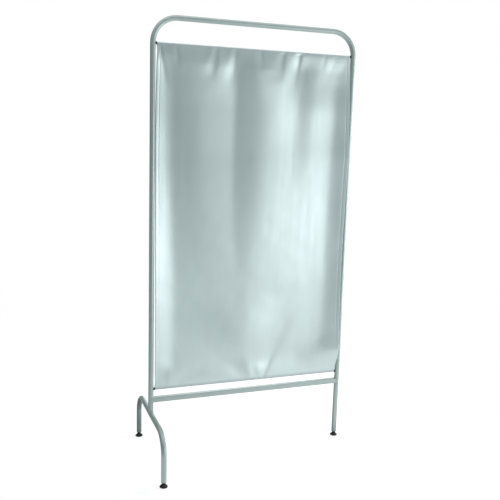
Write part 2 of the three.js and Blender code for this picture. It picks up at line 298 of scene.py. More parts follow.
# Paint, moulded plastic and blackened steel: a tone with scuffs, perhaps dust and flecks, and a pebbled skin.
# A bump is its strength and its depth in millimetres.
coatings = {
    "silverPaint": {
        "shader": {"Metallic": 0.5, "IOR": 1.5},
        "tone": {"Colour": (0.42, 0.515, 0.505, 1), "Depth": 0.03, "Scale": 4},
        "flecks": 0.12,
        "fleckColour": (0.64, 0.71, 0.7, 1),
        "scuffs": {"Scale": 55, "Amount": 0.22},
        "scuffColour": (0.36, 0.39, 0.39, 1),
        "dust": 0.12,
        "dustColour": (0.62, 0.62, 0.6, 1),
        "roughness": 0.4,
        "scuffRoughness": 0.2,
        "skinScale": 1500,
        "bump": (0.25, 0.06),
    },
    "blackPlastic": {
        "shader": {"IOR": 1.46, "Specular IOR Level": 0.32},
        "tone": {"Colour": (0.014, 0.016, 0.016, 1), "Depth": 0.08, "Scale": 40},
        "scuffs": {"Scale": 160, "Amount": 0.35},
        "scuffColour": (0.06, 0.065, 0.065, 1),
        "dust": 0.18,
        "dustColour": (0.16, 0.16, 0.15, 1),
        "roughness": 0.46,
        "scuffRoughness": 0.25,
        "skinScale": 1800,
        "bump": (0.35, 0.05),
    },
    "studSteel": {
        "shader": {"Metallic": 0.8},
        "tone": {"Colour": (0.045, 0.048, 0.052, 1), "Depth": 0.08, "Scale": 60},
        "scuffs": {"Scale": 200, "Amount": 0.5},
        "scuffColour": (0.3, 0.3, 0.31, 1),
        "roughness": 0.42,
        "scuffRoughness": -0.12,
        "skinScale": 2500,
        "bump": (0.3, 0.03),
    },
}


def makeCoating(name):
    given = coatings[name]
    material, tree, sockets = newMaterial(name, given["shader"])
    colour = useGroup(tree, toneGroup, **given["tone"])["Colour"]
    skin = useGroup(tree, pebbleGroup, Scale=given["skinScale"])
    if "flecks" in given:
        flecks = mathNode(tree, "MULTIPLY", skin["Speckle"], given["flecks"])
        colour = mixColours(tree, flecks, colour, given["fleckColour"])
    scuff = useGroup(tree, scuffGroup, **given["scuffs"])["Mask"]
    colour = mixColours(tree, scuff, colour, given["scuffColour"])
    if "dust" in given:
        dust = useGroup(tree, dustGroup, Amount=given["dust"])["Mask"]
        colour = mixColours(tree, dust, colour, given["dustColour"])
    feed(tree, colour, sockets["Base Color"])
    rubbed = mathNode(tree, "MULTIPLY", scuff, given["scuffRoughness"])
    feed(tree, mathNode(tree, "ADD", rubbed, given["roughness"]), sockets["Roughness"])
    addBump(tree, sockets, skin["Height"], *given["bump"])
    return material


sheetFinish = {
    "shader": {"Metallic": 0.66, "IOR": 1.5},
    "tone": {"Colour": (0.605, 0.715, 0.72, 1), "Depth": 0.02, "Scale": 3},
    "streakStretch": (1, 1, 0.08),
    "streakScale": 30,
    "streakDetail": 3,
    "streakFineness": 0.6,
    "streakColour": (0.545, 0.635, 0.64, 1),
    "streakTone": (0.35, 0.65, 0, 0.16),
    "streakRoughness": (0.3, 0.7, 0.36, 0.44),
    "threadScale": 350,
    "threadWobble": 0.4,
    "weaveHeight": 0.3,
    "grainScale": 600,
    "grainDetail": 2,
    "grainHeight": 0.25,
    "crinkleStretch": (1, 1, 0.4),
    "crinkleScale": 45,
    "crinkleDetail": 3,
    "crinkleHeight": 2.2,
    "bump": (0.25, 0.12),
    "hemShadeLow": 288,  # painted shade along the underside of the lower hem, between two heights
    "hemShadeHigh": 304,
    "hemShadeShare": 0.5,
    "hemShadeColour": (0.16, 0.2, 0.2, 1),
}


def makeSilverSheet():
    given = sheetFinish
    material, tree, sockets = newMaterial("silverSheet", given["shader"])
    place = objectPlace(tree)
    base = useGroup(tree, toneGroup, **given["tone"])["Colour"]
    drawnOut = stretched(tree, place, given["streakStretch"])
    streaks = noiseAt(tree, drawnOut, given["streakScale"], given["streakDetail"], given["streakFineness"])
    toned = mixColours(tree, spread(tree, streaks, *given["streakTone"]), base, given["streakColour"])
    # Painted shade: the sheet's colour darkens toward the lower rod, where its hem turns under
    level = newNode(tree, "ShaderNodeSeparateXYZ", {0: place}).outputs["Z"]
    low, high = given["hemShadeLow"] * mm, given["hemShadeHigh"] * mm
    hemShadeMask = spread(tree, level, low, high, given["hemShadeShare"], 0)
    feed(tree, mixColours(tree, hemShadeMask, toned, given["hemShadeColour"]), sockets["Base Color"])
    feed(tree, spread(tree, streaks, *given["streakRoughness"]), sockets["Roughness"])
    inputs = {"Vector": place, "Scale": given["threadScale"], "Distortion": given["threadWobble"]}
    warp = newNode(tree, "ShaderNodeTexWave", inputs, wave_type="BANDS", bands_direction="X")
    weft = newNode(tree, "ShaderNodeTexWave", inputs, wave_type="BANDS", bands_direction="Z")
    weave = mathNode(tree, "MULTIPLY", warp.outputs["Fac"], weft.outputs["Fac"])
    grain = noiseAt(tree, place, given["grainScale"], given["grainDetail"])
    slack = stretched(tree, place, given["crinkleStretch"])
    crinkle = noiseAt(tree, slack, given["crinkleScale"], given["crinkleDetail"])
    height = mathNode(tree, "MULTIPLY", weave, given["weaveHeight"])
    for layer, depth in ((grain, given["grainHeight"]), (crinkle, given["crinkleHeight"])):
        height = mathNode(tree, "ADD", height, mathNode(tree, "MULTIPLY", layer, depth))
    addBump(tree, sockets, height, *given["bump"])
    return material


rodFinish = {
    "shader": {"Metallic": 1},
    "tone": {"Colour": (0.5, 0.52, 0.52, 1), "Depth": 0.05, "Scale": 20},
    "lineStretch": (0.02, 1, 1),
    "lineScale": 1500,
    "lineDetail": 3,
    "roughness": (0.3, 0.7, 0.25, 0.4),
    "bump": (0.2, 0.03),
}


def makeRodSteel():
    material, tree, sockets = newMaterial("rodSteel", rodFinish["shader"])
    feed(tree, useGroup(tree, toneGroup, **rodFinish["tone"])["Colour"], sockets["Base Color"])
    drawnOut = stretched(tree, objectPlace(tree), rodFinish["lineStretch"])
    lines = noiseAt(tree, drawnOut, rodFinish["lineScale"], rodFinish["lineDetail"])
    feed(tree, spread(tree, lines, *rodFinish["roughness"]), sockets["Roughness"])
    addBump(tree, sockets, lines, *rodFinish["bump"])
    return material


silverPaint = makeCoating("silverPaint")
silverSheet = makeSilverSheet()
blackPlastic = makeCoating("blackPlastic")
rodSteel = makeRodSteel()
studSteel = makeCoating("studSteel")
print("finishes made")


# Mesh helpers, in millimetres

usualSharpAngle = 35


def smoothFaces(mesh, sharpAngle):
    mesh.polygons.foreach_set("use_smooth", [True] * len(mesh.polygons))
    mesh.set_sharp_from_angle(angle=math.radians(sharpAngle))


def newObject(name, points, faces, material):
    mesh = bpy.data.meshes.new(name)
    mesh.from_pydata(points, [], faces)
    mesh.materials.append(material)
    made = bpy.data.objects.new(name, mesh)
    scene.collection.objects.link(made)
    return made


def addPiece(name, points, faces, material, body, node, sharpAngle=usualSharpAngle):
    inMetres = [tuple(float(c) * mm for c in p) for p in points]
    piece = newObject(name, inMetres, faces, material)
    shaped = bmesh.new()
    shaped.from_mesh(piece.data)
    bmesh.ops.recalc_face_normals(shaped, faces=shaped.faces)
    shaped.to_mesh(piece.data)
    shaped.free()
    smoothFaces(piece.data, sharpAngle)
    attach(piece, body)
    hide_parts(node)
    return piece


def turnAngles(sides):
    return [2 * math.pi * i / sides for i in range(sides)]


def onCircle(centre, radius, angle):
    middleX, middleY = centre
    return middleX + radius * math.cos(angle), middleY + radius * math.sin(angle)


# Faces between rings of equal length; each ring is closed, and loop joins the last to the first
def skinRings(ringCount, sides, loop=False):
    faces = []
    for ring in range(ringCount if loop else ringCount - 1):
        here, there = ring * sides, (ring + 1) % ringCount * sides
        for i in range(sides):
            j = (i + 1) % sides
            faces.append((here + i, here + j, there + j, there + i))
    return faces


# Faces of an open grid, row by row
def skinGrid(rows, columns):
    faces = []
    for row in range(rows - 1):
        for column in range(columns - 1):
            corner = row * columns + column
            faces.append((corner, corner + 1, corner + columns + 1, corner + columns))
    return faces


# A closed outline of (radius, height) pairs turned about an upright axis
def turnOutline(outline, sides, centre=(0, 0)):
    points = [(*onCircle(centre, radius, angle), z) for radius, z in outline for angle in turnAngles(sides)]
    return points, skinRings(len(outline), sides, loop=True)


# The corners of an outline rounded off, each by its own radius and over at most a share of its two sides
def roundOutline(corners, steps=4, sideShare=0.49):
    outline = []
    for i, (x, y, radius) in enumerate(corners):
        here = Vector((x, y))
        if radius == 0:
            outline.append((x, y))
            continue
        before = Vector(corners[i - 1][:2]) - here
        after = Vector(corners[(i + 1) % len(corners)][:2]) - here
        half = before.angle(after) / 2
        cut = min(radius / math.tan(half), before.length * sideShare, after.length * sideShare)
        start, end = here + before.normalized() * cut, here + after.normalized() * cut
        for step in range(steps + 1):
            t = step / steps
            point = start * (1 - t) ** 2 + here * 2 * t * (1 - t) + end * t ** 2
            outline.append((point.x, point.y))
    return outline


# Tubes

tubeForm = {
    "sides": 48,
    "bendSteps": 28,
    "runSteps": 6,
    "runGap": 1,  # between a bend's last ring and the next straight run's first
    "cornerRadius": 92,
    "bowBendRadius": 77,
    "bowReach": 228,
    "postLift": 9,  # of the left post's first ring over the bow's line, before it is fitted on the bow
    "saddleSink": 0.4,  # of a cut end into what it is welded to
}


# Points and directions along a route with rounded corners
def bentRoute(corners, radius):
    corners = [Vector(c) for c in corners]
    runs = [(b - a).normalized() for a, b in zip(corners, corners[1:])]
    route = []
    last = corners[0]
    for corner, before, after in zip(corners[1:-1], runs, runs[1:]):
        turn = before.angle(after)
        start = corner - before * radius * math.tan(turn / 2)
        inward = (after - before * before.dot(after)).normalized()
        for step in range(tubeForm["runSteps"]):
            route.append((last.lerp(start, step / tubeForm["runSteps"]), before))
        for step in range(tubeForm["bendSteps"] + 1):
            angle = turn * step / tubeForm["bendSteps"]
            point = start + before * radius * math.sin(angle) + inward * radius * (1 - math.cos(angle))
            route.append((point, before * math.cos(angle) + inward * math.sin(angle)))
        last = route.pop()[0]
        route.append((last, after))
        last = last + after * tubeForm["runGap"]
    for step in range(tubeForm["runSteps"] + 1):
        route.append((last.lerp(corners[-1], step / tubeForm["runSteps"]), runs[-1]))
    return route


def ringAt(point, direction, normal, radius, sides):
    side = direction.cross(normal)
    ring = []
    for angle in turnAngles(sides):
        ring.append(point + normal * radius * math.cos(angle) + side * radius * math.sin(angle))
    return ring


# Outer and inner skin of a bent tube, closed at both ends; fit may move the points of the first ring
def bentTube(corners, radius, normal, fit=None):
    route, sides = bentRoute(corners, radius), tubeForm["sides"]
    outside = sizes["tubeRadius"]
    radii = (outside, outside - sizes["tubeWall"])
    skins = [[ringAt(p, d, normal, r, sides) for p, d in route] for r in radii]
    if fit:
        for skin in skins:
            skin[0] = [fit(p) for p in skin[0]]
    rings = skins[0] + skins[1][::-1]
    return [p for ring in rings for p in ring], skinRings(len(rings), sides, loop=True)


def saddleHeight(offset):
    radius = sizes["tubeRadius"]
    return sizes["bowLine"] + math.sqrt(max(0, radius ** 2 - offset ** 2))


def fitOnBow(point):
    fitted = point.copy()
    fitted.z = saddleHeight(point.x + sizes["postX"]) - tubeForm["saddleSink"]
    return fitted


def makeTubes():
    postX, shoulder = sizes["postX"], sizes["height"] - sizes["tubeRadius"]
    bowLine, postEnd = sizes["bowLine"], sizes["postEnd"]
    reach, start = tubeForm["bowReach"], bowLine + tubeForm["postLift"]
    corners = [(-postX, 0, start), (-postX, 0, shoulder), (postX, 0, shoulder), (postX, 0, postEnd)]
    points, faces = bentTube(corners, tubeForm["cornerRadius"], Vector((0, 1, 0)), fit=fitOnBow)
    addPiece("frameTube", points, faces, silverPaint, "frame", "frame_tube")
    side = [(-reach, postEnd), (-reach, bowLine), (reach, bowLine), (reach, postEnd)]
    points, faces = bentTube([(-postX, y, z) for y, z in side], tubeForm["bowBendRadius"], Vector((1, 0, 0)))
    addPiece("footBow", points, faces, silverPaint, "frame", "foot_bow")


makeTubes()
print("tubes bent")


# Lower rail

railForm = {
    "side": 20,
    "wall": 1.5,
    "edgeRadius": 3,
    "edgeSteps": 6,
    "lengthSteps": 24,
    "postSink": 0.4,
}


def roundedSquare(side, radius):
    corner = side / 2 - radius
    outline = []
    for quarter, (signY, signZ) in enumerate(((1, 1), (-1, 1), (-1, -1), (1, -1))):
        for step in range(railForm["edgeSteps"] + 1):
            angle = math.pi / 2 * (quarter + step / railForm["edgeSteps"])
            y = signY * corner + radius * math.cos(angle)
            z = signZ * corner + radius * math.sin(angle)
            outline.append((y, z))
    return outline


# Where the round face of a post lies, that far from its middle plane
def postFaceAt(offset):
    radius = sizes["tubeRadius"]
    return sizes["postX"] - math.sqrt(max(0, radius ** 2 - offset ** 2))


def makeRail():
    steps, line = railForm["lengthSteps"], sizes["railLine"]
    rings = []
    for wall, order in ((0, 1), (railForm["wall"], -1)):
        outline = roundedSquare(railForm["side"] - 2 * wall, railForm["edgeRadius"] - wall)
        reach = [postFaceAt(y) + railForm["postSink"] for y, z in outline]
        stations = []
        for step in range(steps + 1):
            share = 2 * step / steps - 1
            stations.append([(share * x, y, line + z) for x, (y, z) in zip(reach, outline)])
        rings += stations[::order]
    points = [p for ring in rings for p in ring]
    faces = skinRings(len(rings), len(rings[0]), loop=True)
    addPiece("lowerRail", points, faces, silverPaint, "frame", "lower_rail")


makeRail()
print("rail made")


# Welds

weldForm = {
    "radius": 2.3,
    "sink": 0.7,  # of the bead's middle into the tube it runs round
    "rippleDepth": 0.12,
    "ripplePitch": 1.6,
    "sectionSides": 14,
    "steps": 220,
    "railStep": 0.4,  # about, between two sections of the beads at the rail's ends
    "flankLimit": 9.3,  # how far down a tube's flank a bead reaches
    "lift": 0.3,  # of a bead's middle off the tube under it
    "bowTilt": 0.4,
    "railTilt": 4,
}


# A rippled bead along a closed line; outward gives the direction away from the inner tube
def beadAlong(line, outward):
    count = len(line)
    points = []
    travelled = 0
    for i in range(count):
        before, here, after = (Vector(line[(i + k) % count]) for k in (-1, 0, 1))
        travelled += (here - before).length
        along = (after - before).normalized()
        out = Vector(outward[i])
        out = (out - along * out.dot(along)).normalized()
        swell = abs(math.sin(math.pi * travelled / weldForm["ripplePitch"]))
        radius = weldForm["radius"] - weldForm["rippleDepth"] * (1 - swell)
        points += ringAt(here - out * weldForm["sink"], along, out, radius, weldForm["sectionSides"])
    return points, skinRings(count, weldForm["sectionSides"], loop=True)


def makeWelds():
    radius, postX = sizes["tubeRadius"], sizes["postX"]
    line, outward = [], []
    for angle in turnAngles(weldForm["steps"]):
        x, y = radius * math.cos(angle), radius * math.sin(angle)
        line.append((x - postX, y, saddleHeight(min(abs(x), weldForm["flankLimit"])) + weldForm["lift"]))
        outward.append((math.cos(angle), math.sin(angle), weldForm["bowTilt"]))
    points, faces = beadAlong(line, outward)
    addPiece("bowWeld", points, faces, silverPaint, "frame", "bow_weld")

    outline = []
    corners = roundedSquare(railForm["side"], railForm["edgeRadius"])
    for (y, z), (nextY, nextZ) in zip(corners, corners[1:] + corners[:1]):
        pieces = max(1, round(math.hypot(nextY - y, nextZ - z) / weldForm["railStep"]))
        outline += [(y + (nextY - y) * k / pieces, z + (nextZ - z) * k / pieces) for k in range(pieces)]
    for hand, side in (("left", -1), ("right", 1)):
        line, outward = [], []
        for y, z in outline:
            x = postFaceAt(min(abs(y), weldForm["flankLimit"])) - weldForm["lift"]
            line.append((side * x, y, sizes["railLine"] + z))
            outward.append((-side * weldForm["railTilt"], y, z))
        points, faces = beadAlong(line, outward)
        addPiece(f"railWeld.{hand}", points, faces, silverPaint, "frame", f"rail_weld_{hand}")


makeWelds()
print("welds laid")


# Rods and their bushes

bushForm = {
    "sides": 56,
    # Radius, distance past the post's inner face, and rounding of each corner
    "outline": [
        (3.3, -4.8, 0.4), (5.2, -4.8, 0.8), (5.2, -1.5, 0.3), (4.85, -1.2, 0), (5.2, -0.9, 0.3),
        (5.2, -0.3, 0.2), (4.2, -0.3, 0.2), (4.2, 6, 0.3), (3.9, 7, 0.2), (3.3, 7, 0.2),
    ],
}


def makeBushes():
    points, faces = turnOutline(roundOutline(bushForm["outline"]), bushForm["sides"])
    postFace = sizes["postX"] - sizes["tubeRadius"]
    for hand, side in (("left", -1), ("right", 1)):
        for level in ("top", "bottom"):
            height = sizes[f"{level}RodLine"]
            placed = [(side * (postFace + z), y, height + x) for x, y, z in points]
            node = f"rod_bush_{level}_{hand}"
            addPiece(f"rodBush.{level}.{hand}", placed, faces, blackPlastic, "frame", node)


def finishRods():
    for name in ("top_rod", "bottom_rod"):
        rod = frame["nodes"][name]
        rod.data.materials.clear()
        rod.data.materials.append(rodSteel)
        smoothFaces(rod.data, usualSharpAngle)


makeBushes()
finishRods()
print("rods and bushes made")


# The sheet

sheetForm = {
    "halfWidth": 389.9,
    "skin": 0.6,
    "hemDepth": 22,  # from a rod's axis to the weld of its hem
    "loopRadius": 3.6,  # of the hem round its rod, to the middle of the skin
    "sideHem": 13,  # from an upright edge to its weld
    "seamDepth": 0.35,
    "seamWidth": 1.8,
    "topEase": 80,  # below the rod, where the folds have their full depth
    "bottomEase": 115,
    "foldRound": 12,  # how softly the folds turn, across
    "foldRoundTop": 6,
    "edgeBulge": 2.4,  # of the upright edges toward the posts, clear of the bushes
    "leftCurl": 0.8,  # of the left edge to the rear
    "rearShift": 5,  # of the whole sheet between its hems
    "columnStep": 3.2,
    "rowStep": 6,
    "edgeZone": 24,  # along the upright edges, where the columns lie closer
    "edgeStep": 1.2,
    "rodZone": 45,  # along the rods, where the rows lie closer
    "rodStep": 2.5,
    "loopSteps": 12,  # of a hem, round its rod
    "flapSteps": 8,  # of a hem's flap behind the sheet
    "flapGap": 0.05,
    "flapBow": 1.6,
    "flapFollow": 1.2,
    "seamRun": 10,  # from a rod, over which the side seams deepen
    "weldShare": 0.4,  # of a hem's weld beside a side seam
    "curlWidth": 4,
    "curlRun": 120,
    "bulgeStart": 12,
    "bulgeRun": 60,
    "bulgeWidth": 60,
    "sharpAngle": 80,
}

# Heights from the bottom rod to the top one. Each line of the folds runs up the sheet, so far from the left
# edge at each height, and has a lean there: to the rear by so many millimetres over a metre to the right.
heightShares = [0, 0.06, 0.13, 0.25, 0.33, 0.4, 0.55, 0.7, 0.84, 0.91, 0.96, 1]
foldShares = [
    [0, 0, 0, 0, 0, 0, 0, 0, 0, 0, 0, 0],
    [0.05, 0.05, 0.05, 0.048, 0.046, 0.044, 0.04, 0.038, 0.035, 0.033, 0.03, 0.025],
    [0.1, 0.1, 0.105, 0.108, 0.106, 0.102, 0.096, 0.09, 0.082, 0.08, 0.076, 0.07],
    [0.2, 0.2, 0.2, 0.21, 0.215, 0.215, 0.2, 0.18, 0.15, 0.13, 0.12, 0.11],
    [0.24, 0.24, 0.25, 0.27, 0.28, 0.28, 0.265, 0.245, 0.235, 0.29, 0.335, 0.36],
    [0.4, 0.4, 0.4, 0.41, 0.41, 0.4, 0.381, 0.38, 0.38, 0.382, 0.383, 0.385],
    [0.43, 0.43, 0.43, 0.435, 0.435, 0.422, 0.405, 0.402, 0.404, 0.41, 0.42, 0.428],
    [0.46, 0.46, 0.46, 0.46, 0.465, 0.47, 0.49, 0.495, 0.49, 0.48, 0.47, 0.465],
    [0.5, 0.49, 0.49, 0.5, 0.51, 0.52, 0.55, 0.56, 0.55, 0.53, 0.52, 0.52],
    [0.56, 0.56, 0.56, 0.57, 0.57, 0.58, 0.6, 0.61, 0.6, 0.62, 0.65, 0.68],
    [0.62, 0.62, 0.62, 0.63, 0.63, 0.64, 0.65, 0.64, 0.63, 0.65, 0.685, 0.71],
    [0.68, 0.68, 0.68, 0.68, 0.68, 0.69, 0.695, 0.69, 0.7, 0.712, 0.722, 0.73],
    [0.71, 0.71, 0.71, 0.71, 0.71, 0.715, 0.73, 0.735, 0.738, 0.744, 0.748, 0.752],
    [0.75, 0.75, 0.75, 0.75, 0.75, 0.75, 0.76, 0.775, 0.785, 0.79, 0.795, 0.8],
    [0.79, 0.79, 0.79, 0.79, 0.79, 0.79, 0.795, 0.81, 0.825, 0.83, 0.84, 0.84],
    [0.88, 0.88, 0.885, 0.895, 0.897, 0.894, 0.892, 0.89, 0.897, 0.9, 0.9, 0.9],
    [0.93, 0.93, 0.933, 0.945, 0.948, 0.945, 0.942, 0.94, 0.946, 0.955, 0.96, 0.965],
    [1, 1, 1, 1, 1, 1, 1, 1, 1, 1, 1, 1],
]
foldLeans = [
    [130, 200, 240, 255, 250, 240, 205, 150, 110, 95, 95, 85],
    [160, 240, 285, 300, 295, 280, 225, 160, 115, 100, 95, 85],
    [20, 10, -5, -5, -8, -16, -36, -65, -82, -82, -72, -60],
    [20, 5, -12, -20, -28, -36, -50, -66, -78, -76, -70, -60],
    [20, 5, -20, -32, -36, -32, -18, -16, -12, 12, 55, 65],
    [20, 0, -28, -36, -38, -20, -10, -8, 5, 38, 80, 110],
    [0, -20, -40, -48, -62, -88, -108, -128, -142, -155, -150, -130],
    [-10, -25, -35, -45, -52, -66, -90, -112, -122, -125, -105, -85],
    [5, 5, 0, -12, -14, -12, -20, -40, -44, -10, 30, 50],
    [0, 0, 5, 8, 8, 8, 4, -4, -4, 52, 100, 115],
    [0, 0, 0, 16, 22, 24, 14, 0, 58, 138, 150, 150],
    [0, -5, -8, 12, 24, 26, 16, -2, 60, 140, 160, 160],
    [-10, -10, -8, 10, 20, 20, -8, -72, -90, -98, -110, -110],
    [-20, -15, 0, 12, 20, 20, -8, -64, -68, -62, -80, -85],
    [-170, -130, 0, 26, 26, 18, 0, -34, 36, 66, 42, 20],
    [-240, -210, -90, -60, -24, -4, -6, -28, 46, 72, 42, 14],
    [-180, -250, -300, -300, -285, -265, -262, -245, -172, -115, -90, -70],
    [-180, -260, -310, -310, -295, -280, -272, -252, -190, -140, -110, -80],
]

# Small puckers that fan out from the hems: across at the hem, across at the far end, length, lean of the
# flanks, and the width of the left and right flank at the far end. A lean above 0 makes a valley, one below 0
# a ridge.
topPuckers = [
    (0.012, 0.05, 0.12, 110, 22, 16),
    (0.09, 0.1, 0.06, 80, 20, 14),
    (0.29, 0.26, 0.09, 110, 36, 22),
    (0.385, 0.36, 0.12, 85, 34, 28),
    (0.515, 0.51, 0.06, 90, 24, 14),
    (0.635, 0.605, 0.08, 85, 44, 24),
    (0.722, 0.684, 0.12, 140, 46, 24),
    (0.86, 0.85, 0.05, 60, 18, 14),
    (0.925, 0.84, 0.12, 24, 40, 30),
    (0.985, 0.955, 0.06, 24, 18, 14),
]
bottomPuckers = [
    (0.07, 0.09, 0.09, -70, 60, 130),
    (0.515, 0.42, 0.24, -105, 190, 300),
    (0.512, 0.485, 0.07, -90, 36, 30),
    (0.575, 0.73, 0.27, 120, 110, 90),
    (0.559, 0.564, 0.05, -125, 36, 46),
]
puckerForm = {
    "topNarrow": 0.45,  # width at the hem beside that at the far end
    "bottomNarrow": 0.12,
    "widest": 1.3,  # as a share of the length
    "start": 9,  # in millimetres from the rod
    "fadeStart": 0.25,  # as a share of the length
    "fadeRun": 0.95,
    "ridgeSpread": 0.6,
}
# How the folds of each height are brought back to the sheet's plane
planeForm = {
    "samples": 521,
    "sharperFrom": 0.8,  # height above which the folds turn more sharply
    "kernelReach": 3,
    "anchors": [(0.1, 0.2), (0.7, 0.45)],  # across, and how firmly that line is held near the top
    "anchorFrom": 0.5,
    "anchorRun": 0.46,
    "shiftTop": 0.9,
    "shiftRun": 0.2,
    "smoothPasses": 14,
}
topBelly = {"depth": -2, "peak": 36}
bottomBelly = {
    "depth": 0.5,
    "peak": 50,
    "rightward": -3,  # added to the depth at the right edge
    "from": 0.15,
    "run": 0.35,
}
# A fold that runs from the pinch in the lower hem out to the left edge, and stands forward
lowerFold = {"pinch": 0.515, "base": 12, "rise": 190, "depth": -5, "spread": 0.16}
# Slight waves in the lower part of the sheet: millimetres from crest to crest across and up, phase, and depth
waves = [
    (92, 210, 0.3, 0.04), (-74, 160, 1.9, 0.03), (58, -120, 4.1, 0.02), (130, 90, 2.7, 0.045),
    (-150, 70, 5.2, 0.04), (210, 118, 1.2, 0.06),
]
waveRun = {"top": 900, "bottom": 60}  # from each rod, over which they reach their full depth


def easeOver(value, span):
    share = np.clip(value / span, 0, 1)
    return share * share * (3 - 2 * share)


# A rounded ridge of height 1 whose flanks reach out to the left and to the right
def ridgeOver(offset, leftWidth, rightWidth):
    width = np.where(offset < 0, leftWidth, rightWidth)
    return np.exp(-0.5 * (offset / (puckerForm["ridgeSpread"] * width)) ** 2)


# A swelling that is deepest so far from a rod
def bellyAt(away, peak):
    return away / peak * np.exp(1 - away / peak)


# How far the folds lie to the rear along one height, given as a share of the way up from the bottom rod
def foldLine(share, fine, width):
    step = fine[1] - fine[0]
    places = [np.interp(share, heightShares, line) for line in foldShares]
    leans = [np.interp(share, heightShares, line) for line in foldLeans]
    lean = np.interp(fine / width + 0.5, places, leans)
    sharper = (planeForm["sharperFrom"], 1)
    rounding = np.interp(share, sharper, (sheetForm["foldRound"], sheetForm["foldRoundTop"]))
    reach = int(planeForm["kernelReach"] * rounding / step)
    kernel = np.exp(-0.5 * (np.arange(-reach, reach + 1) * step / rounding) ** 2)
    lean = np.convolve(np.pad(lean, reach, "edge"), kernel / kernel.sum(), "valid")
    line = np.concatenate([[0], np.cumsum((lean[1:] + lean[:-1]) / 2 * step * mm)])
    held = 0
    for place, firmness in planeForm["anchors"]:
        held += (np.interp((place - 0.5) * width, fine, line) - line.mean()) * firmness
    line -= line.mean() + held * float(easeOver(share - planeForm["anchorFrom"], planeForm["anchorRun"]))
    line += sheetForm["rearShift"] * float(easeOver(planeForm["shiftTop"] - share, planeForm["shiftRun"]))
    return line


# How far the puckers of one hem lie to the rear; away is the distance from its rod
def puckerRelief(puckers, narrow, away, across, rodToRod, width):
    relief = 0
    for start, end, length, lean, leftWidth, rightWidth in puckers:
        reached = away / (rodToRod * length)
        middle = (start + (end - start) * reached - 0.5) * width
        widen = narrow + (1 - narrow) * np.clip(reached, 0, puckerForm["widest"])
        depth = lean * mm * 0.5 * (leftWidth + rightWidth) * widen
        fade = 1 - easeOver(reached - puckerForm["fadeStart"], puckerForm["fadeRun"])
        ridge = ridgeOver(across - middle, leftWidth * widen, rightWidth * widen)
        relief = relief + depth * easeOver(away, puckerForm["start"]) * fade * ridge
    return relief


# How far the sheet lies to the rear of its flat plane, on a grid of heights by places across
def sheetRelief(across, heights):
    low, high = sizes["bottomRodLine"], sizes["topRodLine"]
    width = 2 * sheetForm["halfWidth"]
    fine = np.linspace(-sheetForm["halfWidth"], sheetForm["halfWidth"], planeForm["samples"])
    relief = np.zeros((len(heights), len(across)))
    for row, height in enumerate(heights):
        share = np.clip((height - low) / (high - low), 0, 1)
        relief[row] = np.interp(across, fine, foldLine(share, fine, width))
    for _ in range(planeForm["smoothPasses"]):  # along the height too
        relief[1:-1] = (relief[:-2] + 2 * relief[1:-1] + relief[2:]) / 4
    down, up, across = (high - heights)[:, None], (heights - low)[:, None], across[None, :]
    relief *= easeOver(down, sheetForm["topEase"]) * easeOver(up, sheetForm["bottomEase"])
    relief += puckerRelief(topPuckers, puckerForm["topNarrow"], down, across, high - low, width)
    relief += puckerRelief(bottomPuckers, puckerForm["bottomNarrow"], up, across, high - low, width)
    toPinch = np.clip(lowerFold["pinch"] - 0.5 - across / width, 0, 1)
    forward = lowerFold["depth"] * easeOver(toPinch, lowerFold["spread"])
    relief += forward * bellyAt(up, lowerFold["base"] + lowerFold["rise"] * toPinch)
    for wide, tall, phase, depth in waves:
        turn = 2 * math.pi * (across / wide + heights[:, None] / tall) + phase
        relief += depth * np.sin(turn) * easeOver(down, waveRun["top"]) * easeOver(up, waveRun["bottom"])
    relief += topBelly["depth"] * bellyAt(down, topBelly["peak"])
    deeper = bottomBelly["rightward"] * easeOver(across / width - bottomBelly["from"], bottomBelly["run"])
    relief += (bottomBelly["depth"] + deeper) * bellyAt(up, bottomBelly["peak"])
    return relief


def gridLines(low, high, step, edge, edgeStep):
    inner = np.linspace(low + edge, high - edge, int((high - low - 2 * edge) / step) + 1)
    outer = np.arange(0, edge, edgeStep)
    return np.concatenate([low + outer, inner, (high - outer)[::-1]])


# The middle of the skin, from the weld of the lower hem round both rods to the upper weld. Each row has its y
# and z, how far it follows the relief, and the height at which it takes the relief.
def sheetRows():
    form = sheetForm
    low, high = sizes["bottomRodLine"], sizes["topRodLine"]
    radius, depth = form["loopRadius"], form["hemDepth"]
    flapSteps, loopSteps = form["flapSteps"], form["loopSteps"]
    flapRest = form["skin"] + form["flapGap"]
    front = gridLines(low, high, form["rowStep"], form["rodZone"], form["rodStep"])
    rows = [(-radius, z, 1, z) for z in front]
    for rodLine, up in ((high, 1), (low, -1)):
        extra = []
        for step in range(1, loopSteps):
            angle = math.pi * (1 - step / loopSteps)
            extra.append((radius * math.cos(angle), rodLine + up * radius * math.sin(angle), 0, rodLine))
        for step in range(flapSteps + 1):
            share = step / flapSteps
            bow = 1 - share ** form["flapBow"]
            rear = -radius + flapRest + (2 * radius - flapRest) * bow
            z = rodLine - up * depth * share
            extra.append((rear, z, share ** form["flapFollow"], z))
        rows = rows + extra if up > 0 else extra[::-1] + rows
    return rows


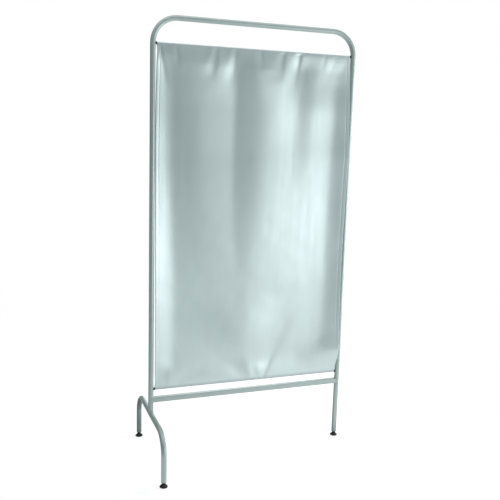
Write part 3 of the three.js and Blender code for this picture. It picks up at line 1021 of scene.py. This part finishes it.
def makeSheet():
    form = sheetForm
    half = form["halfWidth"]
    across = gridLines(-half, half, form["columnStep"], form["edgeZone"], form["edgeStep"])
    rows = sheetRows()
    heights = np.array([row[3] for row in rows])
    order = np.argsort(heights, kind="stable")
    relief = np.zeros((len(rows), len(across)))
    relief[order] = sheetRelief(across, heights[order])
    fromEdge = half - np.abs(across)
    seam = np.exp(-((fromEdge - form["sideHem"]) / form["seamWidth"]) ** 2)
    curl = form["leftCurl"] * (1 - easeOver(fromEdge, form["curlWidth"])) * (across < 0)
    nearEdge = 1 - easeOver(fromEdge, form["bulgeWidth"])
    points = []
    for row, (y, z, follow, height) in enumerate(rows):
        fromRod = min(sizes["topRodLine"] - height, height - sizes["bottomRodLine"])
        weld = math.exp(-((fromRod - form["hemDepth"]) / form["seamWidth"]) ** 2)
        seams = np.maximum(seam * min(1, fromRod / form["seamRun"]), form["weldShare"] * weld)
        bent = relief[row] + curl * float(easeOver(fromRod, form["curlRun"]))
        bulge = form["edgeBulge"] * float(easeOver(fromRod - form["bulgeStart"], form["bulgeRun"]))
        wide = across + np.sign(across) * bulge * nearEdge
        points += [(x, y + follow * d, z) for x, d in zip(wide, bent + form["seamDepth"] * seams)]
    faces = skinGrid(len(rows), len(across))
    sharp = form["sharpAngle"]
    sheet = addPiece("privacySheet", points, faces, silverSheet, "frame", "privacy_sheet", sharp)
    thickness = sheet.modifiers.new("skin", "SOLIDIFY")
    thickness.thickness = form["skin"] * mm
    thickness.offset = 0


makeSheet()
print("sheet hung")


# Feet

footPlaces = {"front": (-405, -228), "rear": (-405, 228), "right": (405, 0)}
footForm = {
    "sides": 64,
    "studRadius": 4,
    "ballLine": 6.6,
    "axisRadius": 0.05,  # of the tiny hole that is left at the middle of a turned end
    "step": 0.05,  # of height, between two corners that would lie level
}

padForm = {
    # Radius, height and rounding of each corner, from the pad's foot up to the mouth of its socket
    "outline": [
        (15, 0, 0.7), (15, 2.6, 0.5), (14.5, 3.2, 0.5), (6.9, 10.8, 1.2), (6.5, 11.9, 0.3), (5.9, 12.4, 0.4),
        (3.5, 12.4, 0.3),
    ],
    "grooves": (5, 8, 11),
    "grooveHalf": 0.6,
    "grooveFloorHalf": 0.4,
    "grooveDepth": 0.5,
    "grooveRound": 0.1,
    "socketRadius": 4.8,
    "socketMouth": 3.5,
    "socketSteps": 10,
}


def padOutline():
    form, axis = padForm, footForm["axisRadius"]
    mouth, socket = form["socketMouth"], form["socketRadius"]
    first = math.atan2(math.sqrt(socket ** 2 - mouth ** 2), mouth)
    bowl = []
    for step in range(form["socketSteps"] + 1):
        angle = first - (first + math.pi / 2) * step / form["socketSteps"]
        bowl.append((max(axis, socket * math.cos(angle)), footForm["ballLine"] + socket * math.sin(angle), 0))
    half, floorHalf, depth = form["grooveHalf"], form["grooveFloorHalf"], form["grooveDepth"]
    grooves = []
    for middle in form["grooves"]:
        grooves += [(middle - half, 0, form["grooveRound"]), (middle - floorHalf, depth, 0)]
        grooves += [(middle + floorHalf, depth, 0), (middle + half, 0, form["grooveRound"])]
    return roundOutline([(axis, 0, 0), *grooves, *form["outline"], *bowl])


insertForm = {
    "floor": 17,
    "flange": 1.5,
    "depth": 20,
    "gap": 0.3,
    "holeRound": 0.3,
    "flangeRound": 0.6,
    "flangeBackRound": 0.25,
    "ribCount": 5,
    "ribDepth": 0.8,
    "ribEndDepth": 0.7,
    "ribBevel": 0.3,
    "ribRound": 0.2,
}


def insertOutline():
    form = insertForm
    hole, tube = footForm["studRadius"] + form["gap"], sizes["tubeRadius"]
    outer = tube - sizes["tubeWall"] - form["gap"]
    low, top = form["floor"], form["floor"] + form["flange"]
    pitch, bevel, edge = form["depth"] / form["ribCount"], form["ribBevel"], form["ribRound"]
    ribs = []
    for i in range(form["ribCount"]):
        foot, inner = top + i * pitch, outer - form["ribDepth"]
        ribs += [(inner, foot, 0), (inner, foot + pitch / 2, edge), (outer, foot + pitch / 2 + bevel, edge)]
        ribs.append((outer - form["ribEndDepth"], foot + pitch - footForm["step"], 0))
    return roundOutline([
        (hole, low, form["holeRound"]),
        (tube, low, form["flangeRound"]),
        (tube, top, form["flangeBackRound"]),
        *ribs,
        (hole, top + form["depth"], form["holeRound"]),
    ])


# Both ends of a turned body closed by a flat face
def closeEnds(points, faces, sides):
    return faces + [tuple(range(sides)), tuple(range(len(points) - sides, len(points)))]


studForm = {
    "length": 23,  # over the hexagon
    "ballRadius": 4.5,
    "ballSteps": 12,
    "neckRadius": 3.2,
    "neckTop": 0.2,
    "shoulderInset": 0.3,
    "shoulderTop": 0.3,
    "hexInset": 0.7,
    "tipInset": 0.8,
    "threadPitch": 1.25,
    "threadDepth": 0.6,
    "threadRows": 10,  # over one pitch
    "threadSlope": 1.25,
    "threadStart": 0.6,
    "threadEnd": 0.8,
    "threadFade": 1.5,
    "threadRest": 0.5,  # how deep the stud's bare ends lie under the crest
    "hexFloor": 12.7,
    "hexHeight": 4,
    "hexWidth": 10,
    "hexSides": 72,
    "hexBevel": 0.45,
    "hexEnd": 0.946,  # radius to which the ends are turned off, beside half the width
    "hexEdge": 1.1,
    "sharpAngle": 28,
}


# A threaded spindle with a ball at its foot: the thread's crest winds up round it
def spindle(centre):
    form, axis, step = studForm, footForm["axisRadius"], footForm["step"]
    sides, radius, pitch = footForm["sides"], footForm["studRadius"], form["threadPitch"]
    ball, neck, hexFloor = form["ballRadius"], form["neckRadius"], form["hexFloor"]
    neckAngle = math.acos(neck / ball)
    outline = []
    for turn in range(form["ballSteps"] + 1):
        angle = -math.pi / 2 + (neckAngle + math.pi / 2) * turn / form["ballSteps"]
        outline.append((max(axis, ball * math.cos(angle)), footForm["ballLine"] + ball * math.sin(angle), 0))
    start = hexFloor + form["hexHeight"]
    end = start + form["length"]
    outline.append((neck, hexFloor + form["neckTop"], 0))
    outline.append((radius - form["shoulderInset"], hexFloor + form["shoulderTop"], 0))
    outline.append((radius - form["hexInset"], start + step, 0))
    rows = int((end - start - 2 * form["threadStart"]) / pitch * form["threadRows"])
    run = end - start - form["threadStart"] - form["threadEnd"]
    for row in range(rows + 1):
        outline.append((radius, start + form["threadStart"] + run * row / rows, 1))
    outline += [(radius - form["tipInset"], end - step, 0), (axis, end, 0)]
    points = []
    for width, z, threaded in outline:
        for i, angle in enumerate(turnAngles(sides)):
            share = (z / pitch - i / sides) % 1
            crest = min(1, abs(2 * share - 1) * form["threadSlope"])
            fade = max(0, min(1, (z - start) / form["threadFade"], (end - z) / form["threadFade"]))
            depth = form["threadDepth"] * crest * fade + form["threadRest"] * (1 - fade)
            reach = width - depth if threaded else width
            points.append((*onCircle(centre, reach, angle), z))
    return points, closeEnds(points, skinRings(len(outline), sides), sides)


# A hexagon whose corners are turned off at both ends
def hexagon(centre):
    form = studForm
    sides, flat, low = form["hexSides"], form["hexWidth"] / 2, form["hexFloor"]
    height, bevel = form["hexHeight"], form["hexBevel"]
    turnedEnd, turnedEdge, whole = flat * form["hexEnd"], flat * form["hexEdge"], flat * 2
    rows = [(0, turnedEnd), (bevel, turnedEdge), (height / 2, whole)]
    rows += [(height - bevel, turnedEdge), (height, turnedEnd)]
    points = []
    for rise, turned in rows:
        for angle in turnAngles(sides):
            inner = (angle % (math.pi / 3)) - math.pi / 6
            reach = min(flat / math.cos(inner), turned)
            points.append((*onCircle(centre, reach, angle), low + rise))
    return points, closeEnds(points, skinRings(len(rows), sides), sides)


def makeFeet():
    pad, insert, sides = padOutline(), insertOutline(), footForm["sides"]
    for place, centre in footPlaces.items():
        points, faces = turnOutline(pad, sides, centre)
        addPiece(f"footPad.{place}", points, faces, blackPlastic, f"{place}_pad", f"foot_pad_{place}")
        points, faces = turnOutline(insert, sides, centre)
        addPiece(f"tubeInsert.{place}", points, faces, blackPlastic, "frame", f"tube_insert_{place}")
        points, faces = spindle(centre)
        hexPoints, hexFaces = hexagon(centre)
        faces += [tuple(i + len(points) for i in face) for face in hexFaces]
        points += hexPoints
        node, sharp = f"foot_stud_{place}", studForm["sharpAngle"]
        addPiece(f"footStud.{place}", points, faces, studSteel, f"{place}_stud", node, sharp)


makeFeet()
print("feet made")


# Floor, light and surroundings

# Metres
studio = {
    "floorRadius": 9,
    "floorRings": 12,
    "floorSides": 48,
    "floorCurve": 1.5,  # the rings lie closer together toward the middle
    "floorMiddle": 0.002,
    "floorHeight": -0.0005,
    "floorColour": (0.8, 0.8, 0.8, 1),
    "shadowFill": 0.55,  # emission of the floor, seen directly, beside its shadow
    "nearRadius": 1.2,  # inside it the floor takes shadows, and beyond the far radius it is plain white
    "farRadius": 3.2,
    "farLevel": 0.6,
    "roomLevel": 0.4,
}
white = (1, 1, 1, 1)


def seenDirectly(tree):
    path = newNode(tree, "ShaderNodeLightPath").outputs
    seen = mathNode(tree, "MAXIMUM", path["Is Camera Ray"], path["Is Glossy Ray"])
    return mathNode(tree, "MAXIMUM", seen, path["Is Transmission Ray"])


def bareMaterial(name):
    material = bpy.data.materials.new(name)
    material.use_nodes = True
    tree = material.node_tree
    tree.nodes.clear()
    return material, tree, newNode(tree, "ShaderNodeOutputMaterial").inputs["Surface"]


def plainGlow(tree, colour, strength):
    return newNode(tree, "ShaderNodeEmission", {"Color": colour, "Strength": strength}).outputs[0]


def makeFloor():
    sides, rings = studio["floorSides"], studio["floorRings"]
    radii = [studio["floorRadius"] * (ring / rings) ** studio["floorCurve"] for ring in range(rings + 1)]
    radii[0] = studio["floorMiddle"]
    height = studio["floorHeight"]
    points = [(r * math.cos(a), r * math.sin(a), height) for r in radii for a in turnAngles(sides)]
    material, tree, surface = bareMaterial("paleFloor")
    reach = newNode(tree, "ShaderNodeVectorMath", {0: objectPlace(tree)}, operation="LENGTH").outputs["Value"]
    far = spread(tree, reach, studio["nearRadius"], studio["farRadius"], 0, 1)
    matt = newNode(tree, "ShaderNodeBsdfDiffuse", {"Color": studio["floorColour"]}).outputs[0]
    seen = seenDirectly(tree)
    fill = plainGlow(tree, white, mathNode(tree, "MULTIPLY", seen, studio["shadowFill"]))
    shaded = newNode(tree, "ShaderNodeAddShader", {0: matt, 1: fill}).outputs[0]
    plain = plainGlow(tree, white, mathNode(tree, "MAXIMUM", seen, studio["farLevel"]))
    feed(tree, newNode(tree, "ShaderNodeMixShader", {0: far, 1: shaded, 2: plain}).outputs[0], surface)
    newObject("floor", points, skinRings(len(radii), sides) + [tuple(range(sides))], material)


def makeWorld():
    world = bpy.data.worlds.new("room")
    world.use_nodes = True
    tree = world.node_tree
    tree.nodes.clear()
    strength = spread(tree, seenDirectly(tree), 0, 1, studio["roomLevel"], 1)
    back = newNode(tree, "ShaderNodeBackground", {"Color": white, "Strength": strength}).outputs[0]
    newNode(tree, "ShaderNodeOutputWorld", {"Surface": back})
    scene.world = world


# Place, size, power and target of each lamp
lamps = {
    "keyLamp": ((3.2, -2.9, 0.7), (3.6, 1.3), 44, (0, 0, 0.95)),
    "fillLamp": ((-2.4, -2.2, 2.6), (2, 2), 6, (0, 0, 0.95)),
    "rearLamp": ((1.2, 3.0, 2.4), (2, 2), 20, (0, 0, 0.95)),
    "sideLamp": ((1.25, 0.14, 1.0), (0.3, 1.4), 9, (0.4, 0, 1.0)),
    "topLamp": ((0, -0.6, 3.4), (2.4, 2.4), 8, (0, 0, 0.95)),
}


def addLamp(name, place, size, power, target):
    data = bpy.data.lights.new(name, "AREA")
    data.energy = power
    data.shape = "RECTANGLE"
    data.size, data.size_y = size
    lamp = bpy.data.objects.new(name, data)
    lamp.location = place
    aim = Vector(target) - Vector(place)
    lamp.rotation_euler = aim.to_track_quat("-Z", "Y").to_euler()
    lamp.visible_camera = False
    scene.collection.objects.link(lamp)


# Dark cards that the glossy sheet and tubes reflect, on the floor and upright round the room. Each has the
# strength of its colour, and rows with a distance and height in metres and the angles of their two ends,
# counted to the right from straight in front of the screen.
darkCards = {
    "floorCard": (0.385, [(1.1, 0.003, -125, 0), (4.2, 0.003, -125, 8)]),
    "farCard": (0.235, [(4.2, 0.003, 68, 150), (4.2, 4.5, 68, 150)]),
    "rearCard": (0.06, [(4.2, 0.003, -190, -125), (4.2, 2.5, -190, -125)]),
    "legCard": (0.04, [(0.12, 0.001, -175, -70), (0.5, 0.001, -160, -80), (0.95, 0.001, -150, -96)]),
    "hemCard": (0.3, [(0.12, 0.001, 70, 175), (0.5, 0.001, 80, 160), (0.9, 0.001, 86, 135)]),
    "sideCard": (0.152, [
        (4.2, 0.003, -125, 8), (4.2, 0.8, -125, 14), (4.2, 1.6, -125, 22), (4.2, 2.4, -125, 34),
        (4.2, 4.5, -125, 52),
    ]),
}
cardFinish = {"colour": (0.71, 1, 1, 1), "steps": 40}


def makeDarkCard(name, strength, rows):
    steps = cardFinish["steps"]
    points = []
    for radius, height, left, right in rows:
        for step in range(steps + 1):
            angle = math.radians(left + (right - left) * step / steps)
            points.append((radius * math.sin(angle), -radius * math.cos(angle), height))
    material, tree, surface = bareMaterial("greyCard")
    feed(tree, plainGlow(tree, cardFinish["colour"], strength), surface)
    panel = newObject(name, points, skinGrid(len(rows), steps + 1), material)
    panel.visible_camera = False
    panel.visible_shadow = False
    panel.visible_diffuse = False


makeFloor()
makeWorld()
for cardName, (cardStrength, cardRows) in darkCards.items():
    makeDarkCard(cardName, cardStrength, cardRows)
for lampName, lampValues in lamps.items():
    addLamp(lampName, *lampValues)
print("studio set")
